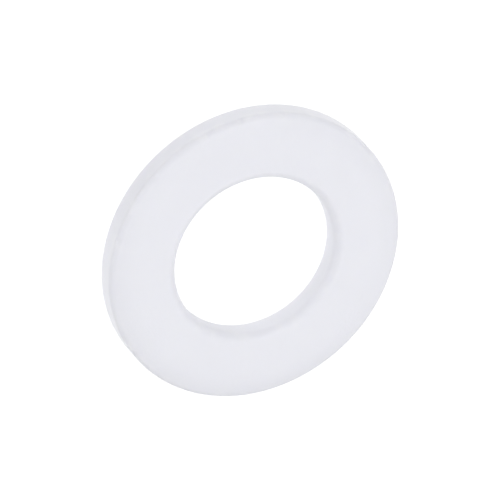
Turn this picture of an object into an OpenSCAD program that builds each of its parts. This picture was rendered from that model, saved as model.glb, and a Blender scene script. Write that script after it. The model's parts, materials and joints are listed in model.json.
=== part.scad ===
// Plain plastic flat washer for an M5 screw.
// It lies flat: the axis of the bore is Z, the bottom face is at Z = 0.

/* [Ring] */
// Outside diameter
outer_d = 10; // [9:0.1:14]
// Bore diameter, the medium clearance hole for an M5 screw
bore_d = 5.5; // [5.1:0.1:6]
// Thickness between the two flat faces
thickness = 0.92; // [0.8:0.02:1.6]

/* [Edges] */
// Width of the rolled margin round the top face, in from the rim
roll_w = 0.85; // [0.4:0.05:0.9]
// Drop of the rolled margin, from the top face to the crease at the rim
roll_drop = 0.2; // [0.1:0.05:0.4]
// Radius where the rim meets the bottom face
rim_round = 0.1; // [0.05:0.05:0.3]
// Radius where the bore meets each face
bore_round = 0.25; // [0.05:0.05:0.3]

/* [Hidden] */

// Width of the ring from the bore to the rim
ring_w = (outer_d - bore_d) / 2;
// The roll is one arc: level where it leaves the top face, roll_drop lower at the rim
roll_r = (roll_w * roll_w + roll_drop * roll_drop) / (2 * roll_drop);
// How far a cut runs past the faces that it opens
over = 0.1;
$fn = 128;

// What an edge loses to its rounding. The sharp edge is at the origin and the solid lies
// towards -X and -Y. The arc starts level with the face and ends drop below it, w away.
module edge_cut(w, drop, arc_r) {
    difference() {
        translate([-w, -drop]) square([w + over, drop + over]);
        translate([-w, -arc_r]) circle(r = arc_r);
    }
}

// A quarter-round edge
module round_cut(r) {
    edge_cut(r, r, r);
}

// Half of the washer cut through its axis: X is the radius, Y the height
module ring_section() {
    difference() {
        translate([bore_d / 2, 0]) square([ring_w, thickness]);
        translate([outer_d / 2, thickness]) edge_cut(roll_w, roll_drop, roll_r);
        translate([outer_d / 2, 0]) mirror([0, 1]) round_cut(rim_round);
        translate([bore_d / 2, thickness]) mirror([1, 0]) round_cut(bore_round);
        translate([bore_d / 2, 0]) rotate(180) round_cut(bore_round);
    }
}

module washer() {
    color([0.92, 0.92, 0.95])
        rotate_extrude() ring_section();
}

washer();
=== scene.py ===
import json
import math

import bpy
import numpy as np
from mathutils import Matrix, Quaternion, Vector


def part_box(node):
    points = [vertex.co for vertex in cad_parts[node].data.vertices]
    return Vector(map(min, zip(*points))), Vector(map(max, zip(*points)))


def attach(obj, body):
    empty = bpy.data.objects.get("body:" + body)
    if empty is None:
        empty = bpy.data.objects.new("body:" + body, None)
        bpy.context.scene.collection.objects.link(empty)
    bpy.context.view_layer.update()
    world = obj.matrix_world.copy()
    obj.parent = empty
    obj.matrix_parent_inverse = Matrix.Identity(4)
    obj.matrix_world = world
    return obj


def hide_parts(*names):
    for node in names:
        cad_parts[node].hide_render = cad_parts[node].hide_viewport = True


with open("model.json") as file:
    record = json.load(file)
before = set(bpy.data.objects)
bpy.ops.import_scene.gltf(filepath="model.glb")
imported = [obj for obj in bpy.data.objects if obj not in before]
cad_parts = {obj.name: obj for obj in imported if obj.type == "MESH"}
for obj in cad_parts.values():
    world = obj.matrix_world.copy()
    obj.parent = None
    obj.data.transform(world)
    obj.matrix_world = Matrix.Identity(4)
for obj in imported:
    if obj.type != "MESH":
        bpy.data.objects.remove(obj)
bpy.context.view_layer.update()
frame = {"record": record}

MM = 0.001
low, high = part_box("washer")
RIM_R = (high.x - low.x) / 2
THICK = high.z - low.z
BORE_R = frame["record"]["mounts"][0]["dims"]["r_mm"] * MM


# ---------------------------------------------------------------- washer section

# The top face rolls down over this width, gently to ROLL_SLOPE and then round to LIP_SLOPE
ROLL_W = 0.175 * RIM_R
ROLL_SLOPE = math.radians(16)
LIP_R = 0.05 * RIM_R
LIP_SLOPE = math.radians(68)
# The fine groove under the crease, where the sheared rim begins
GROOVE = 0.004 * RIM_R
# Edge radii: the rim's foot, and the bore's two ends
FOOT_R = 0.008 * RIM_R
BORE_TOP_R = 0.06 * RIM_R
BORE_FOOT_R = 0.035 * RIM_R
# The groove's outline, in groove depths: out from the crease, and up
GROOVE_SHAPE = [(-0.1, -0.2), (-1, -0.5), (-1, -0.9), (-0.1, -2), (0, -2.4)]
# Points along each stretch of the section
ROLL_STEPS = 24
LIP_STEPS = 10
FACE_STEPS = 12
RIM_STEPS = 9
FOOT_STEPS = 7
BORE_FOOT_STEPS = 11
BORE_STEPS = 6
BORE_TOP_STEPS = 13


def arc(centre, radius, turn, steps):
    """An arc: centre + radius * (sin t, cos t), with t running along turn."""
    t = np.linspace(turn[0], turn[1], steps)
    return np.array(centre) + radius * np.stack([np.sin(t), np.cos(t)], axis=1)


def line(start, end, steps):
    """Points evenly spaced from start to end, both ends left out."""
    s = np.linspace(0, 1, steps + 2)[1:-1, None]
    return np.array(start) * (1 - s) + np.array(end) * s


def margin():
    """The rolled margin, from the top face out to the crease.

    First a parabola, level at the face and at ROLL_SLOPE at its end, then an arc of radius LIP_R
    that turns on to LIP_SLOPE and stops at the crease, on the rim.
    """
    lip_run = LIP_R * (math.sin(LIP_SLOPE) - math.sin(ROLL_SLOPE))
    run = ROLL_W - lip_run
    drop = run * math.tan(ROLL_SLOPE) / 2
    s = np.linspace(0, 1, ROLL_STEPS)
    roll = np.stack([RIM_R - ROLL_W + run * s, THICK - drop * s ** 2], axis=1)
    centre = roll[-1] - LIP_R * np.array([math.sin(ROLL_SLOPE), math.cos(ROLL_SLOPE)])
    return np.concatenate([roll[:-1], arc(centre, LIP_R, (ROLL_SLOPE, LIP_SLOPE), LIP_STEPS)])


def washer_section():
    """The closed cross-section as (radius, height), clockwise from the top face at the bore.

    The flat top face, the rolled margin, the groove, the upright rim, and quarter turns at the
    rim's foot and at both ends of the bore.
    """
    edge = margin()
    groove = edge[-1] + GROOVE * np.array(GROOVE_SHAPE)
    foot = arc((RIM_R - FOOT_R, FOOT_R), FOOT_R, (math.pi / 2, math.pi), FOOT_STEPS)
    under = arc((BORE_R + BORE_FOOT_R, BORE_FOOT_R), BORE_FOOT_R,
                (math.pi, 1.5 * math.pi), BORE_FOOT_STEPS)
    upper = arc((BORE_R + BORE_TOP_R, THICK - BORE_TOP_R), BORE_TOP_R,
                (1.5 * math.pi, 2 * math.pi), BORE_TOP_STEPS)
    return np.concatenate([
        line(upper[-1], edge[0], FACE_STEPS), edge, groove,
        line(groove[-1], foot[0], RIM_STEPS), foot,
        line(foot[-1], under[0], FACE_STEPS), under,
        line(under[-1], upper[0], BORE_STEPS), upper,
    ])


def section_normals(section):
    """Unit normals: the chord between each point's neighbours, turned a quarter outwards."""
    chord = np.roll(section, -1, axis=0) - np.roll(section, 1, axis=0)
    normal = np.stack([-chord[:, 1], chord[:, 0]], axis=1)
    return normal / np.linalg.norm(normal, axis=1, keepdims=True)


# ---------------------------------------------------------------- washer ring

RING_STEPS = 900
# The crease wanders up and down by this much, and the wander fades over this reach from it
WANDER = 0.0025 * RIM_R
WANDER_REACH = 0.1 * RIM_R
# The wander's sine waves: how many round the ring, how strong, and how far turned
WAVES = [(3, 1.0, 0.4), (7, 0.7, 2.1), (16, 0.5, 0.0)]
# Dents beside the crease: where round the ring, how long in degrees, and how deep
NICKS = [
    (239, 2.6, 0.009 * RIM_R),
    (279, 2.2, 0.008 * RIM_R),
    (253, 1.0, 0.005 * RIM_R),
    (306, 1.6, 0.006 * RIM_R),
    (24, 1.4, 0.006 * RIM_R),
    (97, 2.0, 0.008 * RIM_R),
    (161, 1.2, 0.006 * RIM_R),
]
NICK_W = 0.014 * RIM_R
# Where a nick's middle lies on the margin, in nick widths: out from the crease, and up
NICK_SPOT = (-1.1, 0.5)
# Width of the paler strip beside each edge: scuffs, and a painted glow of light through the thin
# edges
SCUFF_GLOW_W = 0.05 * RIM_R


def gauss(distance, width):
    """A smooth hump: 1 at no distance, falling as exp of minus the square of distance / width."""
    return np.exp(-(distance / width) ** 2)


def washer_points(section, angle):
    """The section turned round Z, with the small faults of a punched edge.

    Each point starts at x = r cos a, y = r sin a. The crease moves up and down by three sine
    waves round the ring. Each nick pushes the margin in along its normal by a Gaussian hump, just
    inside the crease, long round the ring and narrow across it. Both fade away from the crease.
    """
    normal = section_normals(section)
    crease = margin()[-1]
    from_crease = np.linalg.norm(section - crease, axis=1)
    from_nick = np.linalg.norm(section - crease - NICK_W * np.array(NICK_SPOT), axis=1)
    wave = sum(height * np.sin(count * angle + turn) for count, height, turn in WAVES)
    wave = wave / sum(height for count, height, turn in WAVES)
    lift = WANDER * gauss(from_crease, WANDER_REACH)[:, None] * wave
    push = np.zeros((len(section), len(angle)))
    for place, length, depth in NICKS:
        gap = (angle - math.radians(place) + math.pi) % (2 * math.pi) - math.pi
        push += depth * gauss(from_nick, NICK_W)[:, None] * gauss(gap, math.radians(length) / 2)
    r = section[:, :1] - push * normal[:, :1]
    z = section[:, 1:] - push * normal[:, 1:] + lift
    return np.stack([r * np.cos(angle), r * np.sin(angle), z], axis=-1)


def edge_marks(section):
    """Per section point: how near an edge it is, how upright, and whether it is the sheared rim."""
    edges = np.array([
        margin()[-1],
        (RIM_R, 0),
        (BORE_R, 0),
        (BORE_R, THICK),
    ])
    distance = np.linalg.norm(section[:, None] - edges, axis=2).min(axis=1)
    upright = np.clip((np.abs(section_normals(section)[:, 0]) - 0.9) / 0.09, 0, 1)
    return gauss(distance, SCUFF_GLOW_W), upright, upright * (section[:, 0] > 0.9 * RIM_R)


def washer_piece(name):
    """The closed ring mesh, with the values of edge_marks stored on its points."""
    section = washer_section()
    angle = np.arange(RING_STEPS) * 2 * math.pi / RING_STEPS
    points = washer_points(section, angle)
    rows, columns = points.shape[:2]
    i, j = np.meshgrid(np.arange(rows), np.arange(columns), indexing="ij")
    i2, j2 = (i + 1) % rows, (j + 1) % columns
    quads = np.stack([i * columns + j, i2 * columns + j, i2 * columns + j2, i * columns + j2], -1)
    mesh = bpy.data.meshes.new(name)
    mesh.from_pydata(points.reshape(-1, 3), [], quads.reshape(-1, 4))
    mesh.polygons.foreach_set("use_smooth", np.ones(len(mesh.polygons), bool))
    for label, values in zip(("edge", "upright", "sheared"), edge_marks(section)):
        layer = mesh.attributes.new(label, "FLOAT", "POINT")
        layer.data.foreach_set("value", np.repeat(values, columns))
    mesh.update()
    piece = bpy.data.objects.new(name, mesh)
    bpy.context.scene.collection.objects.link(piece)
    return piece


# ---------------------------------------------------------------- finish

def noise(tree, coords, size, detail):
    """Noise with features about size across."""
    node = tree.nodes.new("ShaderNodeTexNoise")
    node.inputs["Scale"].default_value = 1 / size
    node.inputs["Detail"].default_value = detail
    tree.links.new(coords, node.inputs["Vector"])
    return node.outputs[0]


def spread(tree, value, given, wanted):
    """A value carried from one range to another, held at the ends."""
    node = tree.nodes.new("ShaderNodeMapRange")
    for socket, number in zip(("From Min", "From Max", "To Min", "To Max"), (*given, *wanted)):
        node.inputs[socket].default_value = number
    tree.links.new(value, node.inputs["Value"])
    return node.outputs["Result"]


def maths(tree, operation, first, second):
    """One Math node; second is a socket or a number."""
    node = tree.nodes.new("ShaderNodeMath")
    node.operation = operation
    tree.links.new(first, node.inputs[0])
    if isinstance(second, (int, float)):
        node.inputs[1].default_value = second
    else:
        tree.links.new(second, node.inputs[1])
    return node.outputs[0]


def tint(tree, mask, first, second):
    """first where the mask is 0, second where it is 1; each is a colour or a socket."""
    node = tree.nodes.new("ShaderNodeMix")
    node.data_type = "RGBA"
    tree.links.new(mask, node.inputs["Factor"])
    for socket, colour in ((node.inputs[6], first), (node.inputs[7], second)):
        if isinstance(colour, tuple):
            socket.default_value = (*colour, 1)
        else:
            tree.links.new(colour, socket)
    return node.outputs[2]


def mark(tree, name):
    """A value stored on the mesh."""
    node = tree.nodes.new("ShaderNodeAttribute")
    node.attribute_name = name
    return node.outputs["Fac"]


# The milky colour, its deeper clouds, and the paler scuffs, which also paint a glow of light through
# the thin edges
MILK = (0.83, 0.8335, 0.885)
MILK_DEEP = (0.82, 0.824, 0.8765)
SCUFF_AND_GLOW = (0.85, 0.8535, 0.895)
# Roughness of the faces, how much it varies, what scuffs add, and that of the sheared rim
ROUGH = 0.5
ROUGH_VARIES = 0.06
SCUFF_ROUGH = 0.1
SHEARED_ROUGH = 0.3
# Feature sizes of the finish, and how far the drawn lines are stretched along Z
CLOUD = 2.2 * MM
MOTTLE = 0.45 * MM
GRAIN = 0.11 * MM
DRAWN = 0.09 * MM
DRAWN_Z = 0.08
# Depth of the relief, and how much of the drawn lines' depth is left on the sheared rim
RELIEF = 0.006 * MM
SHEARED_LINES = 0.2
# Share of light that goes in under the surface, and how far it travels there
SSS_W = 0.3
SSS_L = 0.02 * RIM_R


def milky_plastic():
    """Soft milky plastic: cloudy colour, a fine moulded grain, drawn lines on the punched walls.

    Clouds and mottling shade the colour. A fine grain roughens the faces. On the upright walls
    the grain is drawn out along Z, as punching leaves it, fainter on the outer rim, which is also
    smoother. Edges are scuffed a little paler, which also paints a glow of light through the thin
    edges, and rougher away from that rim.
    """
    material = bpy.data.materials.new("milky_plastic")
    material.use_nodes = True
    tree = material.node_tree
    shader = tree.nodes["Principled BSDF"]
    place = tree.nodes.new("ShaderNodeTexCoord").outputs["Object"]
    drawn = tree.nodes.new("ShaderNodeMapping")
    drawn.inputs["Scale"].default_value = (1, 1, DRAWN_Z)
    tree.links.new(place, drawn.inputs["Vector"])
    edge = mark(tree, "edge")
    upright = mark(tree, "upright")

    clouds = noise(tree, place, CLOUD, 3)
    mottle = noise(tree, place, MOTTLE, 4)
    grain = noise(tree, place, GRAIN, 3)
    lines = noise(tree, drawn.outputs[0], DRAWN, 3)
    surface = maths(tree, "ADD", clouds, maths(tree, "MULTIPLY", mottle, 0.5))
    colour = tint(tree, spread(tree, surface, (0.55, 0.95), (0, 1)), MILK_DEEP, MILK)

    # Paler patches beside the edges: scuffs, and a painted glow of light through the thin edges
    worn_and_glow = maths(tree, "MULTIPLY", edge, spread(tree, mottle, (0.48, 0.62), (0, 1)))
    colour = tint(tree, worn_and_glow, colour, SCUFF_AND_GLOW)

    tree.links.new(colour, shader.inputs["Base Color"])

    faces = spread(tree, mottle, (0.3, 0.7), (ROUGH - ROUGH_VARIES, ROUGH + ROUGH_VARIES))
    blend = tree.nodes.new("ShaderNodeMix")
    tree.links.new(mark(tree, "sheared"), blend.inputs["Factor"])
    scuffed = maths(tree, "ADD", faces, maths(tree, "MULTIPLY", worn_and_glow, SCUFF_ROUGH))
    tree.links.new(scuffed, blend.inputs[2])
    blend.inputs[3].default_value = SHEARED_ROUGH
    tree.links.new(blend.outputs[0], shader.inputs["Roughness"])

    smooth = spread(tree, mark(tree, "sheared"), (0, 1), (1, SHEARED_LINES))
    relief = tree.nodes.new("ShaderNodeMix")
    tree.links.new(upright, relief.inputs["Factor"])
    tree.links.new(grain, relief.inputs[2])
    tree.links.new(maths(tree, "MULTIPLY", lines, smooth), relief.inputs[3])
    height = maths(tree, "ADD", relief.outputs[0], maths(tree, "MULTIPLY", mottle, 1.2))
    bump = tree.nodes.new("ShaderNodeBump")
    bump.inputs["Strength"].default_value = 1
    bump.inputs["Distance"].default_value = RELIEF
    tree.links.new(height, bump.inputs["Height"])
    tree.links.new(bump.outputs[0], shader.inputs["Normal"])

    shader.inputs["IOR"].default_value = 1.53
    shader.inputs["Subsurface Weight"].default_value = SSS_W
    shader.inputs["Subsurface Radius"].default_value = (1.0, 1.0, 1.1)
    shader.inputs["Subsurface Scale"].default_value = SSS_L
    return material


# ---------------------------------------------------------------- build

washer = washer_piece("plastic_washer")
washer.data.materials.append(milky_plastic())
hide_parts("washer")
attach(washer, "root")


# ---------------------------------------------------------------- studio

ELEVATION = math.radians(54.45)
ROLL = math.radians(137.74)
FRAME_WIDTH = 3.188 * RIM_R
CAMERA_OFF = 0.1
CENTRE = Vector((0, 0, THICK / 2))
BACK = Vector((0, -math.cos(ELEVATION), math.sin(ELEVATION)))
# The picture's middle, off the washer's, in frame widths to the right and up
OFF_MIDDLE = (-0.0025, 0.0033)

camera = bpy.data.objects.new("camera", bpy.data.cameras.new("camera"))
bpy.context.scene.collection.objects.link(camera)
bpy.context.scene.camera = camera
camera.data.type = "ORTHO"
camera.data.ortho_scale = FRAME_WIDTH
camera.rotation_mode = "QUATERNION"
camera.rotation_quaternion = (-BACK).to_track_quat("-Z", "Y") @ Quaternion((0, 0, 1), ROLL)
AIM = camera.rotation_quaternion @ Vector((*OFF_MIDDLE, 0)) * FRAME_WIDTH
camera.location = CENTRE + BACK * CAMERA_OFF + AIM
camera.data.clip_start = 0.001
camera.data.clip_end = 10


# The floor's level to the camera, and the level that it lights with
FLOOR_SHOWN = 1.1
FLOOR_GIVEN = 1.09
LAMP_SIDE = 0.04
LAMP_OFF = 0.08


def glow(name, shown, given):
    """A plain white stage surface: the camera sees the level shown, and it lights with given."""
    material = bpy.data.materials.new(name)
    material.use_nodes = True
    nodes, links = material.node_tree.nodes, material.node_tree.links
    nodes.clear()
    output = nodes.new("ShaderNodeOutputMaterial")
    mix = nodes.new("ShaderNodeMixShader")
    path = nodes.new("ShaderNodeLightPath")
    for slot, level in ((1, given), (2, shown)):
        emission = nodes.new("ShaderNodeEmission")
        emission.inputs["Strength"].default_value = level
        links.new(emission.outputs[0], mix.inputs[slot])
    links.new(path.outputs["Is Camera Ray"], mix.inputs[0])
    links.new(mix.outputs[0], output.inputs[0])
    return material


def floor_sheet(side, gap):
    """A flat square floor, side out from the middle each way, just under the washer."""
    mesh = bpy.data.meshes.new("floor")
    corners = [(x, y, -gap) for x, y in ((-side, -side), (side, -side), (side, side), (-side, side))]
    mesh.from_pydata(corners, [], [(0, 1, 2, 3)])
    floor = bpy.data.objects.new("floor", mesh)
    floor.data.materials.append(glow("floor_white", FLOOR_SHOWN, FLOOR_GIVEN))
    bpy.context.scene.collection.objects.link(floor)


floor_sheet(0.5, 0.02 * MM)

# The world is a white backdrop to the camera, and gives no light
world = bpy.data.worlds.new("studio")
bpy.context.scene.world = world
world.use_nodes = True
backdrop = world.node_tree.nodes["Background"]
backdrop.inputs["Color"].default_value = (1, 1, 1, 1)
seen = world.node_tree.nodes.new("ShaderNodeLightPath").outputs["Is Camera Ray"]
world.node_tree.links.new(seen, backdrop.inputs["Strength"])


def softbox(name, lean, way_round, power):
    """A square soft light aimed at the washer.

    lean is its angle from the camera's axis, and way_round the angle round that axis, both in
    degrees, counted from the camera's right.
    """
    out, around = math.radians(lean), math.radians(way_round)
    way = Vector((math.sin(out) * math.cos(around), math.sin(out) * math.sin(around), math.cos(out)))
    way = (camera.rotation_quaternion @ way).normalized()
    light = bpy.data.lights.new(name, "AREA")
    light.energy = power
    light.size = LAMP_SIDE
    lamp = bpy.data.objects.new(name, light)
    bpy.context.scene.collection.objects.link(lamp)
    lamp.rotation_mode = "QUATERNION"
    lamp.rotation_quaternion = way.to_track_quat("Z", "Y")
    lamp.location = CENTRE + way * LAMP_OFF


softbox("key", 35, 0, 0.027)
softbox("left", 35, 180, 0.019)
softbox("low_right", 35, 300, 0.011)
softbox("far_right", 70, 305, 0.015)
softbox("top_right", 70, 55, 0.012)
softbox("low_left", 70, 235, 0.010)
softbox("floor_right", 100, 325, 0.012)

bpy.context.scene.view_settings.view_transform = "Standard"
